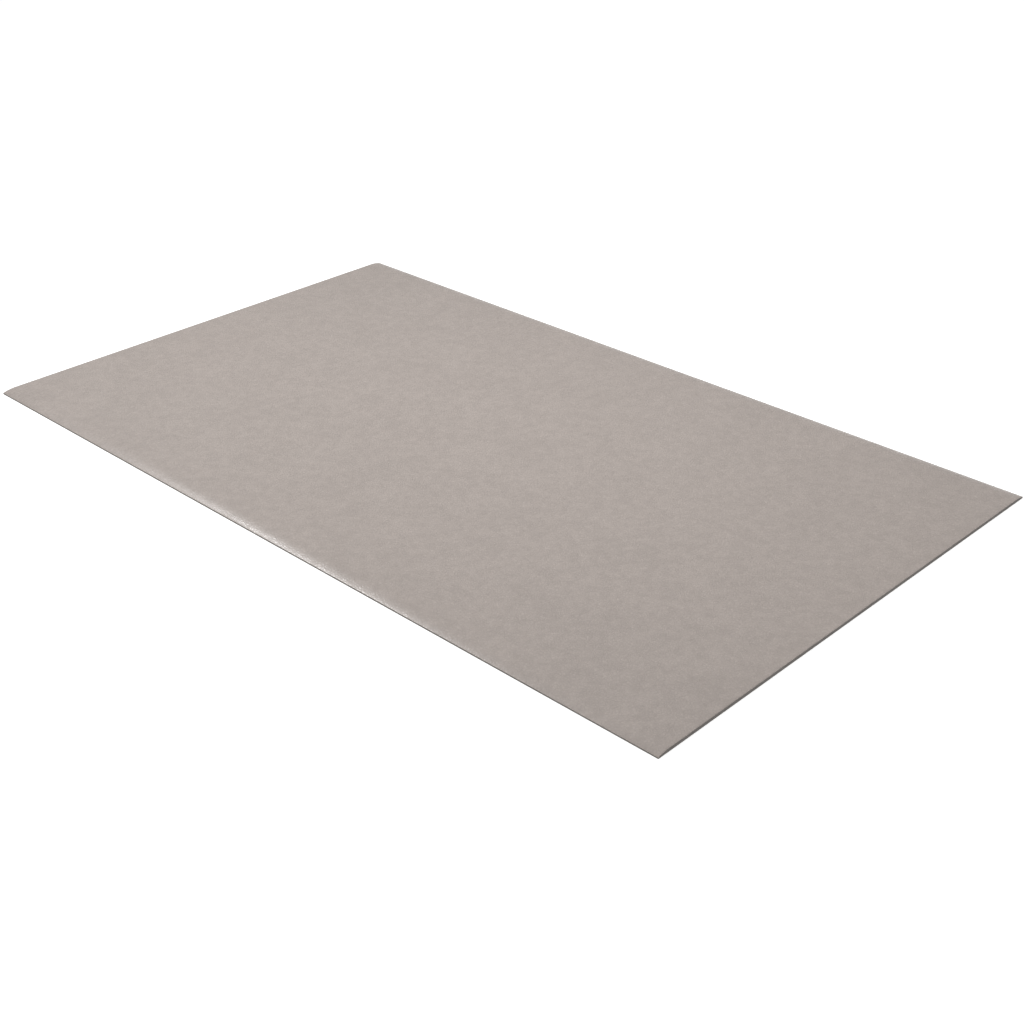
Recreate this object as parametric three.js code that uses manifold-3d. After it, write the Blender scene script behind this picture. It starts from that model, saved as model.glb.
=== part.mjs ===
// Anti-static floor mat: one piece of pebble-grained vinyl sponge. Both long sides are rounded
// down to a low lip, and both ends are cut square. It lies flat with its grained face up.
// Millimetres. X runs along the length, Y across the width and +Z is up. The origin is the middle
// of the underside.

import * as THREE from 'three';
import { mergeVertices } from 'three/addons/utils/BufferGeometryUtils.js';
import Module from 'manifold-3d';

// Plan and thickness
const matLength = 1524;
const matWidth = 914.4;
const matThickness = 6.35;

// Border along each long side, which curves down from the flat top to an upright lip
const taperWidth = 25;
const lipHeight = 2.5;

// Top edge of each cut end, softened by the knife
const endEdgeRadius = 0.8;

// Number of curve divisions in each arc of an outline
const arcDivisions = 5;

// How far each swept section runs on past the faces that the other one cuts
const overrun = matThickness;

const X = new THREE.Vector3(1, 0, 0);
const Y = new THREE.Vector3(0, 1, 0);
const Z = new THREE.Vector3(0, 0, 1);
const quarterTurn = Math.PI / 2;

const wasm = await Module();
wasm.setup();

// Section across the width: flat underside, an upright lip at each side, and a top that is flat
// between two arcs. Each arc is level where it meets the flat, and ends at the top of the lip.
function widthSection() {
  const side = matWidth / 2;
  const crest = side - taperWidth;
  const drop = matThickness - lipHeight;
  const radius = (taperWidth ** 2 + drop ** 2) / (2 * drop);
  const slopeAtLip = Math.asin(taperWidth / radius);
  const centreHeight = matThickness - radius;
  const outline = new THREE.Shape();
  outline.moveTo(-side, 0);
  outline.lineTo(side, 0);
  outline.lineTo(side, lipHeight);
  outline.absarc(crest, centreHeight, radius, quarterTurn - slopeAtLip, quarterTurn, false);
  outline.lineTo(-crest, matThickness);
  outline.absarc(-crest, centreHeight, radius, quarterTurn, quarterTurn + slopeAtLip, false);
  outline.closePath();
  return outline;
}

// Section along the length: upright cut ends under a softened top edge
function lengthSection() {
  const end = matLength / 2;
  const flatEnd = end - endEdgeRadius;
  const shoulder = matThickness - endEdgeRadius;
  const outline = new THREE.Shape();
  outline.moveTo(-end, -overrun);
  outline.lineTo(end, -overrun);
  outline.lineTo(end, shoulder);
  outline.absarc(flatEnd, shoulder, endEdgeRadius, 0, quarterTurn, false);
  outline.lineTo(-flatEnd, matThickness);
  outline.absarc(-flatEnd, shoulder, endEdgeRadius, quarterTurn, 2 * quarterTurn, false);
  outline.closePath();
  return outline;
}

function solidFrom(geometry) {
  geometry.deleteAttribute('normal');
  geometry.deleteAttribute('uv');
  const merged = mergeVertices(geometry);
  return new wasm.Manifold(new wasm.Mesh({
    numProp: 3,
    vertProperties: new Float32Array(merged.attributes.position.array),
    triVerts: new Uint32Array(merged.index.array),
  }));
}

function geometryFrom(solid) {
  const mesh = solid.getMesh();
  const geometry = new THREE.BufferGeometry();
  geometry.setAttribute('position', new THREE.BufferAttribute(mesh.vertProperties, 3));
  geometry.setIndex(new THREE.BufferAttribute(mesh.triVerts, 1));
  geometry.computeVertexNormals();
  return geometry;
}

// A solid made by sweeping an outline both ways from the middle. The outline's own axes point
// along right and up, and the sweep runs along their normal.
function sweep(outline, right, up, length) {
  const along = right.clone().cross(up);
  const geometry = new THREE.ExtrudeGeometry(outline, {
    depth: length,
    curveSegments: arcDivisions,
    bevelEnabled: false,
  });
  geometry.translate(0, 0, -length / 2);
  geometry.applyMatrix4(new THREE.Matrix4().makeBasis(right, up, along));
  return solidFrom(geometry);
}

// The tapered section is swept along the length, and both ends are then cut off square
function matGeometry() {
  const strip = sweep(widthSection(), Y, Z, matLength + 2 * overrun);
  const cut = sweep(lengthSection(), X, Z, matWidth + 2 * overrun);
  return geometryFrom(strip.intersect(cut));
}

const greyVinyl = new THREE.MeshStandardMaterial({
  color: '#b1a9a2',
  roughness: 0.72,
  metalness: 0,
});

const floorMat = new THREE.Mesh(matGeometry(), greyVinyl);
floorMat.name = 'floor_mat';

const part = new THREE.Group();
part.add(floorMat);

export default part;
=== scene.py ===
# Looks of an anti-static floor mat: one piece of pebble-grained grey vinyl sponge, lying flat on a
# white floor in soft studio light. Metres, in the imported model's frame: X along the length, Y across
# the width and Z up, with the origin in the middle of the underside.
import math

import bpy
import numpy as np
from mathutils import Matrix, Vector


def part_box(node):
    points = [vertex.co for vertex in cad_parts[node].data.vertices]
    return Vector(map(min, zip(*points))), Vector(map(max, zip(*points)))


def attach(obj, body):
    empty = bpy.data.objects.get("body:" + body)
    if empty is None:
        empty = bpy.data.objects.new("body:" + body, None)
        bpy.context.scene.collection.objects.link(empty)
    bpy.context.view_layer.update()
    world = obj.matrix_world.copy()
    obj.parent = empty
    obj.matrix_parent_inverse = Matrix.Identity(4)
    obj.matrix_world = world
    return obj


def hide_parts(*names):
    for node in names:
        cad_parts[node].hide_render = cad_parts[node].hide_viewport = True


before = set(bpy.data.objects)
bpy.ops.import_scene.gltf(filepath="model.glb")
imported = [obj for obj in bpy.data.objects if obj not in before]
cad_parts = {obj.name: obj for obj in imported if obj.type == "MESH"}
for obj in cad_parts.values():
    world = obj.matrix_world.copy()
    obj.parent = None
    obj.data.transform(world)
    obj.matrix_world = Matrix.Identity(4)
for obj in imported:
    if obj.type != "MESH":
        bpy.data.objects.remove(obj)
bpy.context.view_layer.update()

# Plan and thickness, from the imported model
low_corner, high_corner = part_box("floor_mat")
HALF_LENGTH = high_corner.x
HALF_WIDTH = high_corner.y
THICKNESS = high_corner.z

# Border along each long side, which curves down from the flat top to an upright lip
TAPER_WIDTH = 0.025
LIP_HEIGHT = 0.0025
LIP_EDGE_RADIUS = 0.0003

# Top edge of each cut end, softened by the knife
END_EDGE_RADIUS = 0.0008

# Mesh: the top's grid, the lines over each rounded edge and over each taper, and how many of the
# top's steps one step of the underside's wider grid takes
GRID_STEP = 0.004
EDGE_LINES = 4
TAPER_LINES = 8
UNDERSIDE_SKIP = 6

# An edge sharper than this many degrees isn't shaded as a smooth one
SHARP_ANGLE = 40

# The three kinds of face, as numbers of the materials they take
TOP, WALL, UNDERSIDE = 0, 1, 2

# Texture layout, in shares of its side: where the walls' strips begin, the step from one strip to
# the next, how much taller than to scale they are, where the underside begins, and the margin
STRIPS_FROM = 0.61
STRIP_PITCH = 0.02
STRIP_STRETCH = 2
UNDERSIDE_FROM = 0.695
LAYOUT_MARGIN = 0.002

# Unevenness of the moulded skin: close low swells, and a slow change of thickness over the whole mat
SWELL_HEIGHT = 0.00005
SWELL_LENGTHS = (0.012, 0.018)
DRIFT_HEIGHT = 0.00015
DRIFT_LENGTHS = (0.25, 0.6)
WAVE_COUNT = 12
CALM_BORDER = 0.006

# Every pair of tones below holds factors on the material's colour, and every pair of roughnesses
# the shader's own values, from the low to the high end of the pattern that they follow

# Grained skin: its pebbles, as cells of a pattern, how far noise pushes their outlines about, and
# the finest texture on them
SKIN_COLOUR = (0.387, 0.339, 0.310)
PEBBLE_SIZE = 0.0045
PEBBLE_HEIGHT = 0.00011
PEBBLE_HEIGHT_SHARES = (0.55, 1.0)
SWAY_SIZE = 0.006
SWAY_REACH = 0.003
MICRO_SIZE = 0.0006
MICRO_HEIGHT_SHARE = 0.08

# The way in from a pebble's outline, in shares of a cell: where its dome begins, where its groove
# ends and where its middle is
DOME_FROM = -0.06
GROOVE_TO = 0.2
PEBBLE_MIDDLE = 0.42

# Tones and roughness of the skin: over each pebble, where painted shade darkens its groove and lightens
# its crown, from one pebble to the next, and in patches
GROOVE_SHADE_TONES = (0.90, 1.02)
PEBBLE_TONES = (0.98, 1.02)
FLECK_SIZE = 0.005
FLECK_SPAN = (0.60, 0.72)
FLECK_TONES = (1.0, 1.05)
MOTTLE_SIZE = 0.016
MOTTLE_TONES = (0.962, 1.038)
CLOUD_SIZE = 0.12
CLOUD_TONES = (0.985, 1.015)
PEBBLE_ROUGHNESSES = (0.24, 0.33)
GROOVE_ROUGHNESS = 0.15

# Cut sponge: its open pores, darkened inside by painted shade, and the level streaks that the knife left
# Partly the sponge core's own darker colour and partly painted shade, for faces turned away from the
# light
SPONGE_AND_SHADE_COLOUR = (0.150, 0.136, 0.125)
PORE_SIZE = 0.0007
PORE_DEPTH = 0.00012
PORE_SPAN = (0.15, 0.55)
PORE_SHADE_TONES = (0.75, 1.0)
STREAK_SIZE = 0.002
STREAK_STRETCH = (4, 4, 0.5)
STREAK_TONES = (0.93, 1.05)
SPONGE_ROUGHNESSES = (0.95, 0.85)

# Underside: its fine texture, and its patches
UNDERSIDE_COLOUR = (0.300, 0.272, 0.250)
FINE_SIZE = 0.0012
FINE_HEIGHT = 0.0001
FINE_TONES = (0.94, 1.04)
PATCH_SIZE = 0.08
PATCH_TONES = (0.98, 1.02)
UNDERSIDE_ROUGHNESSES = (0.75, 0.88)

# The part of a noise's range that the patterns use, and the middle of that range for all three axes
NOISE_SPAN = (0.3, 0.7)
NOISE_MIDDLE = (0.5, 0.5, 0.5)

# Camera: its bearing, height and roll in degrees, the point on the floor that the photograph is
# centred on, its distance from there, and its lens and sensor in millimetres
CAMERA_AZIMUTH = 43.866
CAMERA_ELEVATION = 29.461
CAMERA_ROLL = -0.138
CAMERA_TARGET = Vector((0.20495, -0.13572, 0))
CAMERA_DISTANCE = 2.47723
CAMERA_LENS = 55.547
CAMERA_SENSOR = 36

# Studio
WHITE = (1, 1, 1, 1)
FLOOR_SIZE = 60
FLOOR_GAP = 0.0002
FLOOR_COLOUR = (0.85, 0.85, 0.85, 1)
FLOOR_ROUGHNESS = 0.9
FLOOR_GLOW = 0.6
ROOM_LIGHT = 0.495


def arc_drop(beyond, radius):
    """How far an arc has dropped this far beyond the place where it leaves the level."""
    return radius - np.sqrt(radius ** 2 - beyond ** 2)


def taper_radius():
    """Radius of the arc that drops from the top to the lip over the taper's width."""
    drop = THICKNESS - LIP_HEIGHT
    return (TAPER_WIDTH ** 2 + drop ** 2) / (2 * drop)


def edge_lines(radius):
    """Distances in from an edge to the mesh lines that divide its quarter circle evenly."""
    angles = np.linspace(0, math.pi / 2, EDGE_LINES + 1)
    return radius * (1 - np.cos(angles))


def grid_lines(half, border):
    """Places of the mesh lines from -half to +half. They follow the border's distances at both
    sides, and are even between them, in a number that the underside's wider grid divides."""
    low_side = border - half
    inner = -low_side[-1]
    border_steps = 2 * (len(border) - 1)
    steps = 2 * inner / GRID_STEP + border_steps
    steps = UNDERSIDE_SKIP * round(steps / UNDERSIDE_SKIP)
    middle = np.linspace(-inner, inner, steps - border_steps + 1)
    return np.concatenate([low_side[:-1], middle, -low_side[-2::-1]])


def top_height(x, y):
    """Height of the top: flat, curved down to the lips along Y, and softened at the ends along X."""
    from_end = HALF_LENGTH - np.abs(x)
    from_side = HALF_WIDTH - np.abs(y)
    height = THICKNESS - arc_drop(np.clip(TAPER_WIDTH - from_side, 0, None), taper_radius())
    height -= arc_drop(np.clip(LIP_EDGE_RADIUS - from_side, 0, None), LIP_EDGE_RADIUS)
    softened = arc_drop(np.clip(END_EDGE_RADIUS - from_end, 0, None), END_EDGE_RADIUS)
    return height - softened * height / THICKNESS


def waves(x, y, lengths, seed):
    """Sum of level waves that run in all directions, mostly between -1 and 1."""
    random = np.random.default_rng(seed)
    total = np.zeros_like(x)
    for _ in range(WAVE_COUNT):
        direction, phase = random.uniform(0, 2 * math.pi, 2)
        along = x * math.cos(direction) + y * math.sin(direction)
        total += np.sin(2 * math.pi * along / random.uniform(*lengths) + phase)
    return total / math.sqrt(WAVE_COUNT)


def unevenness(x, y):
    """Swells and drift of the top, which die away at the borders."""
    from_border = np.minimum(HALF_LENGTH - np.abs(x), HALF_WIDTH - np.abs(y))
    share = np.clip(from_border / CALM_BORDER, 0, 1)
    swells = SWELL_HEIGHT * waves(x, y, SWELL_LENGTHS, seed=3)
    drift = DRIFT_HEIGHT * waves(x, y, DRIFT_LENGTHS, seed=8)
    return (swells + drift) * share * share * (3 - 2 * share)


def underside_faces(border_numbers, inner_numbers):
    """Faces of the underside's wide grid. Those at the border take in every point of the border."""
    numbers = np.maximum(border_numbers, inner_numbers)
    skip = UNDERSIDE_SKIP
    faces = []
    for i in range(0, numbers.shape[0] - 1, skip):
        for j in range(0, numbers.shape[1] - 1, skip):
            walk = np.concatenate([
                numbers[i, j:j + skip],
                numbers[i:i + skip, j + skip],
                numbers[i + skip, j + skip:j:-1],
                numbers[i + skip:i:-1, j],
            ])
            faces.append(walk[walk >= 0].tolist())
    return faces


def top_grid():
    """X and Y of the points of the top's grid."""
    side_border = np.concatenate([
        edge_lines(LIP_EDGE_RADIUS),
        np.linspace(LIP_EDGE_RADIUS, TAPER_WIDTH, TAPER_LINES + 1)[1:],
    ])
    xs = grid_lines(HALF_LENGTH, edge_lines(END_EDGE_RADIUS))
    ys = grid_lines(HALF_WIDTH, side_border)
    return np.meshgrid(xs, ys, indexing="ij")


def mat_shape(x, y):
    """Points of the whole mat on the top's grid, and the faces of its top, walls and underside."""
    z = top_height(x, y) + unevenness(x, y)
    top_points = np.stack([x, y, z], -1).reshape(-1, 3)
    top = np.arange(x.size).reshape(x.shape)
    corners = [top[:-1, :-1], top[1:, :-1], top[1:, 1:], top[:-1, 1:]]
    top_faces = np.stack(corners, -1).reshape(-1, 4).tolist()

    rim = np.concatenate([top[:-1, 0], top[-1, :-1], top[:0:-1, -1], top[0, :0:-1]])
    foot = top.size + np.arange(rim.size)
    foot_points = top_points[rim] * (1, 1, 0)
    walls = np.stack([rim, foot, np.roll(foot, -1), np.roll(rim, -1)], -1).tolist()

    border_numbers = np.full(top.shape, -1)
    border_numbers.reshape(-1)[rim] = foot
    inner_numbers = np.full(top.shape, -1)
    inner = (slice(UNDERSIDE_SKIP, -1, UNDERSIDE_SKIP),) * 2
    inner_points = np.stack([x[inner], y[inner], 0 * x[inner]], -1).reshape(-1, 3)
    first = top.size + foot.size
    inner_numbers[inner] = first + np.arange(len(inner_points)).reshape(x[inner].shape)
    underside = underside_faces(border_numbers, inner_numbers)
    points = np.concatenate([top_points, foot_points, inner_points])
    return points, top_faces, walls, underside


def mat_mesh():
    """The whole mat as one closed mesh, with a material and a texture layout for each kind of face."""
    x, y = top_grid()
    points, top_faces, walls, underside = mat_shape(x, y)
    mesh = bpy.data.meshes.new("mat_sheet")
    mesh.from_pydata(points.tolist(), [], top_faces + walls + underside)
    mesh.shade_smooth()
    mesh.set_sharp_from_angle(angle=math.radians(SHARP_ANGLE))
    kinds = np.repeat([TOP, WALL, UNDERSIDE], [len(top_faces), len(walls), len(underside)])
    mesh.polygons.foreach_set("material_index", kinds)
    lay_out(mesh, points, kinds, wall_sides(kinds, x.shape))
    mesh.update()
    return mesh


def wall_sides(kinds, grid_shape):
    """The side of the mat that each wall is on, from 0 to 3 in the order of the rim, and 0 for the
    other kinds of face."""
    long_walls, end_walls = (lines - 1 for lines in grid_shape)
    sides = np.zeros(len(kinds), int)
    sides[kinds == WALL] = np.repeat([0, 1, 2, 3], [long_walls, end_walls, long_walls, end_walls])
    return sides


def lay_out(mesh, points, kinds, sides):
    """Texture layout at one scale: the top fills the width, the four walls are strips above it,
    and the underside is above them at half the scale."""
    sizes = np.array([face.loop_total for face in mesh.polygons])
    corners = np.zeros(len(mesh.loops), int)
    mesh.loops.foreach_get("vertex_index", corners)
    place = (points[corners] + (HALF_LENGTH, HALF_WIDTH, 0)) / (2 * HALF_LENGTH)
    kinds = np.repeat(kinds, sizes)
    sides = np.repeat(sides, sizes)

    u = place[:, 0].copy()
    v = place[:, 1].copy()
    wall = kinds == WALL
    end_wall = wall & (sides % 2 == 1)
    u[end_wall] = place[end_wall, 1]
    v[wall] = STRIPS_FROM + STRIP_PITCH * sides[wall] + STRIP_STRETCH * place[wall, 2]
    under = kinds == UNDERSIDE
    u[under] = place[under, 0] / 2
    v[under] = UNDERSIDE_FROM + place[under, 1] / 2

    layout = mesh.uv_layers.new(name="OFBake")
    spots = LAYOUT_MARGIN + (1 - 2 * LAYOUT_MARGIN) * np.stack([u, v], -1)
    layout.data.foreach_set("uv", spots.reshape(-1))


def add_node(tree, kind, settings=None, **inputs):
    """A shader node with these settings. An input given as a socket is linked, and other inputs are
    set. An underscore in an input's name stands for a space."""
    node = tree.nodes.new("ShaderNode" + kind)
    for name, value in (settings or {}).items():
        setattr(node, name, value)
    for name, value in inputs.items():
        socket = node.inputs[name.replace("_", " ")]
        if isinstance(value, bpy.types.NodeSocket):
            tree.links.new(value, socket)
        else:
            socket.default_value = value
    return node


def calculate(tree, operation, a, b=0.0):
    """The result of a sum on one or two numbers or sockets."""
    node = tree.nodes.new("ShaderNodeMath")
    node.operation = operation
    for socket, value in zip(node.inputs, (a, b)):
        if isinstance(value, bpy.types.NodeSocket):
            tree.links.new(value, socket)
        else:
            socket.default_value = value
    return node.outputs[0]


def product(tree, *factors):
    """All of these factors multiplied together."""
    result = factors[0]
    for factor in factors[1:]:
        result = calculate(tree, "MULTIPLY", result, factor)
    return result


def between(tree, value, low, high, start=0.0, end=1.0):
    """The value's smooth way from low to high, as a number from start to end."""
    node = add_node(
        tree, "MapRange", {"interpolation_type": "SMOOTHSTEP"},
        Value=value, From_Min=low, From_Max=high, To_Min=start, To_Max=end,
    )
    return node.outputs["Result"]


def noise(tree, vector, size, detail=2.0, roughness=0.5):
    """Noise whose largest features are about this size."""
    node = add_node(tree, "TexNoise", Vector=vector, Scale=1 / size, Detail=detail, Roughness=roughness)
    return node.outputs["Fac"]


def new_material(name):
    """An empty material, with its node tree and its shader."""
    material = bpy.data.materials.new(name)
    material.use_nodes = True
    tree = material.node_tree
    return material, tree, tree.nodes["Principled BSDF"]


def place_on_object(tree):
    """The place on the object, in metres."""
    return tree.nodes.new("ShaderNodeTexCoord").outputs["Object"]


def paint(tree, shader, colour, tone):
    """Gives the shader a colour that a factor from the nodes makes lighter or darker."""
    node = add_node(tree, "VectorMath", {"operation": "SCALE"}, Scale=tone)
    node.inputs[0].default_value = colour
    tree.links.new(node.outputs["Vector"], shader.inputs["Base Color"])


def emboss(tree, shader, height, distance):
    """Gives the shader a relief this high."""
    node = add_node(tree, "Bump", Strength=1.0, Distance=distance, Height=height)
    tree.links.new(node.outputs["Normal"], shader.inputs["Normal"])


def swayed(tree, place):
    """The place pushed about by noise, so that the pebbles' outlines come out curved."""
    sway = add_node(
        tree, "TexNoise", {"noise_dimensions": "2D"},
        Vector=place, Scale=1 / SWAY_SIZE, Detail=1.0,
    )
    push = add_node(tree, "VectorMath", {"operation": "SUBTRACT"})
    tree.links.new(sway.outputs["Color"], push.inputs[0])
    push.inputs[1].default_value = NOISE_MIDDLE
    pushed = add_node(tree, "VectorMath", {"operation": "MULTIPLY_ADD"})
    tree.links.new(push.outputs["Vector"], pushed.inputs[0])
    pushed.inputs[1].default_value = (SWAY_REACH, SWAY_REACH, 0)
    tree.links.new(place, pushed.inputs[2])
    return pushed.outputs["Vector"]


def pebble_cells(tree, place, feature):
    """A flat pattern of cells, one to a pebble, that measures this feature."""
    settings = {"voronoi_dimensions": "2D", "feature": feature}
    return add_node(tree, "TexVoronoi", settings, Vector=place, Scale=1 / PEBBLE_SIZE)


def grained_skin():
    """Matt vinyl skin, embossed all over with small round pebbles of uneven size and height."""
    material, tree, shader = new_material("grained_skin")
    place = place_on_object(tree)
    cells_place = swayed(tree, place)
    way_in = pebble_cells(tree, cells_place, "DISTANCE_TO_EDGE").outputs["Distance"]
    chance = add_node(tree, "SeparateColor", Color=pebble_cells(tree, cells_place, "F1").outputs["Color"])

    dome = between(tree, way_in, DOME_FROM, PEBBLE_MIDDLE)
    tallness = between(tree, chance.outputs["Red"], 0, 1, *PEBBLE_HEIGHT_SHARES)
    micro = noise(tree, place, MICRO_SIZE, detail=3.0, roughness=0.6)
    micro = product(tree, micro, MICRO_HEIGHT_SHARE)
    height = calculate(tree, "ADD", product(tree, dome, tallness), micro)
    emboss(tree, shader, height, PEBBLE_HEIGHT)

    # Painted shade: each pebble is darker in its groove and lighter on its crown, as shade between
    # pebbles would make it
    groove_shade = between(tree, way_in, 0, PEBBLE_MIDDLE, *GROOVE_SHADE_TONES)
    pebble = between(tree, chance.outputs["Green"], 0, 1, *PEBBLE_TONES)
    fleck = between(tree, noise(tree, place, FLECK_SIZE, detail=1.0), *FLECK_SPAN, *FLECK_TONES)
    cloud = between(tree, noise(tree, place, CLOUD_SIZE, detail=3.0), *NOISE_SPAN, *CLOUD_TONES)
    mottle = between(tree, noise(tree, place, MOTTLE_SIZE), *NOISE_SPAN, *MOTTLE_TONES)
    paint(tree, shader, SKIN_COLOUR, product(tree, groove_shade, pebble, fleck, cloud, mottle))

    pebble_roughness = between(tree, chance.outputs["Blue"], 0, 1, *PEBBLE_ROUGHNESSES)
    groove_roughness = between(tree, way_in, 0, GROOVE_TO, GROOVE_ROUGHNESS, 0)
    roughness = calculate(tree, "ADD", pebble_roughness, groove_roughness)
    tree.links.new(roughness, shader.inputs["Roughness"])
    return material


def cut_sponge():
    """Knife-cut face of the closed-cell sponge: dull, darker by its colour and painted shade, with small
    open pores.
    """
    material, tree, shader = new_material("cut_sponge")
    place = place_on_object(tree)
    pores = add_node(tree, "TexVoronoi", Vector=place, Scale=1 / PORE_SIZE)
    wall = between(tree, pores.outputs["Distance"], *PORE_SPAN)
    drag = add_node(tree, "Mapping", {"vector_type": "TEXTURE"}, Vector=place, Scale=STREAK_STRETCH)
    streak = noise(tree, drag.outputs["Vector"], STREAK_SIZE)
    # Painted shade: each pore is darker inside than the walls around it
    pore_shade = between(tree, wall, 0, 1, *PORE_SHADE_TONES)
    streak_tone = between(tree, streak, *NOISE_SPAN, *STREAK_TONES)
    paint(tree, shader, SPONGE_AND_SHADE_COLOUR, product(tree, pore_shade, streak_tone))
    tree.links.new(between(tree, wall, 0, 1, *SPONGE_ROUGHNESSES), shader.inputs["Roughness"])
    emboss(tree, shader, wall, PORE_DEPTH)
    return material


def plain_underside():
    """Underside of the sponge: flat and dull, with a fine even texture."""
    material, tree, shader = new_material("plain_underside")
    place = place_on_object(tree)
    fine = noise(tree, place, FINE_SIZE, detail=4.0, roughness=0.6)
    patches = noise(tree, place, PATCH_SIZE, detail=3.0)
    fine_tone = between(tree, fine, *NOISE_SPAN, *FINE_TONES)
    patch_tone = between(tree, patches, *NOISE_SPAN, *PATCH_TONES)
    paint(tree, shader, UNDERSIDE_COLOUR, product(tree, fine_tone, patch_tone))
    tree.links.new(between(tree, fine, *NOISE_SPAN, *UNDERSIDE_ROUGHNESSES), shader.inputs["Roughness"])
    emboss(tree, shader, fine, FINE_HEIGHT)
    return material


def add_mat():
    """The mat as one soft piece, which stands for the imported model's one node."""
    mesh = mat_mesh()
    for material in (grained_skin(), cut_sponge(), plain_underside()):
        mesh.materials.append(material)
    mat = bpy.data.objects.new("mat_sheet", mesh)
    bpy.context.collection.objects.link(mat)
    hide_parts("floor_mat")
    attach(mat, "root")


def white_floor():
    """Matt white floor that also glows a little, as one lit from below does, so that it stays white."""
    material, _, shader = new_material("white_floor")
    shader.inputs["Base Color"].default_value = FLOOR_COLOUR
    shader.inputs["Roughness"].default_value = FLOOR_ROUGHNESS
    shader.inputs["Emission Color"].default_value = WHITE
    shader.inputs["Emission Strength"].default_value = FLOOR_GLOW
    return material


def add_floor():
    """A wide flat floor, a hair's breadth below the mat."""
    half = FLOOR_SIZE / 2
    mesh = bpy.data.meshes.new("studio_floor")
    corners = [(-half, -half, 0), (half, -half, 0), (half, half, 0), (-half, half, 0)]
    mesh.from_pydata(corners, [], [(0, 1, 2, 3)])
    mesh.materials.append(white_floor())
    floor = bpy.data.objects.new("studio_floor", mesh)
    floor.location.z = -FLOOR_GAP
    bpy.context.collection.objects.link(floor)


def add_softbox(name, place, aim, size, power, mirrored=True):
    """A rectangular soft light at a place, turned towards a point. One that isn't mirrored lights
    surfaces, and leaves no sheen on them."""
    data = bpy.data.lights.new(name, "AREA")
    data.shape = "RECTANGLE"
    data.size, data.size_y = size
    data.energy = power
    light = bpy.data.objects.new(name, data)
    light.location = place
    light.rotation_euler = (Vector(aim) - Vector(place)).to_track_quat("-Z", "Y").to_euler()
    light.visible_glossy = mirrored
    bpy.context.collection.objects.link(light)


def add_softboxes():
    """The key light makes the sheen along the near taper, the overhead one lights the top, and the
    rim light makes the thin glint along the near end's softened edge."""
    add_softbox(
        "key_softbox", place=(-1.56, -0.208, 1.806), aim=(0.1, -0.45, 0),
        size=(0.5, 0.5), power=20,
    )
    add_softbox(
        "overhead_softbox", place=(0.14, 0.12, 1.25), aim=(0.14, 0.12, 0),
        size=(1.5, 1.1), power=9.25, mirrored=False,
    )
    add_softbox(
        "rim_softbox", place=(1.05, 2.2, 2.0), aim=(0.75, 0, 0),
        size=(0.5, 0.5), power=3,
    )


def add_room_light():
    """An even white light from all round."""
    world = bpy.data.worlds.new("studio")
    world.use_nodes = True
    background = world.node_tree.nodes["Background"]
    background.inputs["Color"].default_value = WHITE
    background.inputs["Strength"].default_value = ROOM_LIGHT
    bpy.context.scene.world = world


def add_camera():
    """The camera, where the photograph's was."""
    azimuth = math.radians(CAMERA_AZIMUTH)
    elevation = math.radians(CAMERA_ELEVATION)
    back = Vector((
        math.sin(azimuth) * math.cos(elevation),
        -math.cos(azimuth) * math.cos(elevation),
        math.sin(elevation),
    ))
    roll = Matrix.Rotation(math.radians(CAMERA_ROLL), 3, "Z")
    turn = (-back).to_track_quat("-Z", "Y").to_matrix() @ roll
    data = bpy.data.cameras.new("camera")
    data.sensor_width = CAMERA_SENSOR
    data.lens = CAMERA_LENS
    camera = bpy.data.objects.new("camera", data)
    camera.matrix_world = Matrix.Translation(CAMERA_TARGET + CAMERA_DISTANCE * back) @ turn.to_4x4()
    bpy.context.collection.objects.link(camera)
    bpy.context.scene.camera = camera


add_camera()
add_mat()
add_floor()
add_room_light()
add_softboxes()
bpy.context.scene.view_settings.view_transform = "Standard"
